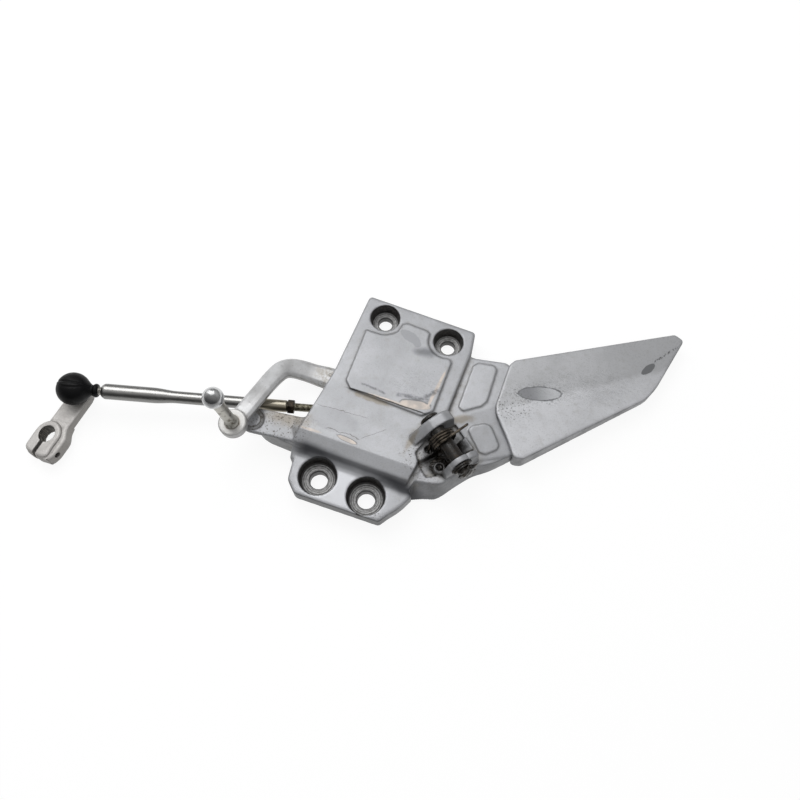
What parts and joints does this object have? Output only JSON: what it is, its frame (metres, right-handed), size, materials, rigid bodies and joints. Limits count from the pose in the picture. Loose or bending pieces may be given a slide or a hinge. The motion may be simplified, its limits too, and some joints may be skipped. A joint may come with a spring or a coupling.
{
  "type": "motorcycle footrest hanger",
  "caption": "Cast left footrest hanger with a folding-footrest clevis, heel guard, gear pedal, linkage rod with booted ball joints and a splined shift arm.",
  "frame": {"origin": "midway between the two upper frame bolts, on the machined back face that meets the frame", "axes": "+X along the two upper frame bolts towards the rear of the machine, +Y up the machine, +Z outboard"},
  "size_m": [0.4301, 0.2827, 0.0973],
  "materials": {
    "cast_aluminium": "silver painted casting, worn and dirty",
    "forged_aluminium": "painted forging, worn",
    "blasted_aluminium": "matt bead-blasted",
    "steel": "plated and brushed, slightly tarnished",
    "dark_steel": "black with grease",
    "bronze": "oiled",
    "rubber": "satin, creased"
  },
  "bodies": {
    "hanger": {"hanger_casting": "cast_aluminium", "heel_guard": "cast_aluminium", "guard_screw_upper": "steel", "guard_screw_lower": "steel", "clevis_pin": "steel", "clevis_washer": "dark_steel", "clevis_clip": "dark_steel", "pin_sleeve": "dark_steel", "torsion_spring": "dark_steel", "pedal_pivot_bolt": "steel", "pivot_washer": "steel"},
    "pedal": {"gear_pedal": "forged_aluminium", "toe_peg": "steel", "pedal_bush": "bronze", "rear_ball_stud": "steel"},
    "rod": {"linkage_rod": "steel", "rear_locknut": "dark_steel", "rear_rod_end": "dark_steel", "rear_boot": "rubber", "front_rod_end": "steel", "front_boot": "rubber"},
    "shift_lever": {"shift_arm": "blasted_aluminium", "front_ball_stud": "steel"}
  },
  "joints": [
    {"name": "pedal_pivot", "type": "hinge", "parent": "hanger", "child": "pedal", "pos_m": [-0.026, -0.061, 0], "axis": [0, 0, 1], "range_deg": [-12, 12]},
    {"name": "rod_rear_ball", "type": "hinge", "parent": "pedal", "child": "rod", "pos_m": [-0.031, -0.084, 0], "axis": [0, 0, 1], "range_deg": [-12.5, 12.5]},
    {"name": "rod_front_ball", "type": "hinge", "parent": "rod", "child": "shift_lever", "pos_m": [-0.21933, -0.14859, 0.022], "axis": [-0.1899, 0.0186, 0.9816], "range_deg": [-7.5, 7.5]}
  ],
  "couplings": [
    {"joint": "rod_rear_ball", "follows": "pedal_pivot", "ratio": -1},
    {"joint": "rod_front_ball", "follows": "pedal_pivot", "ratio": -0.58}
  ]
}
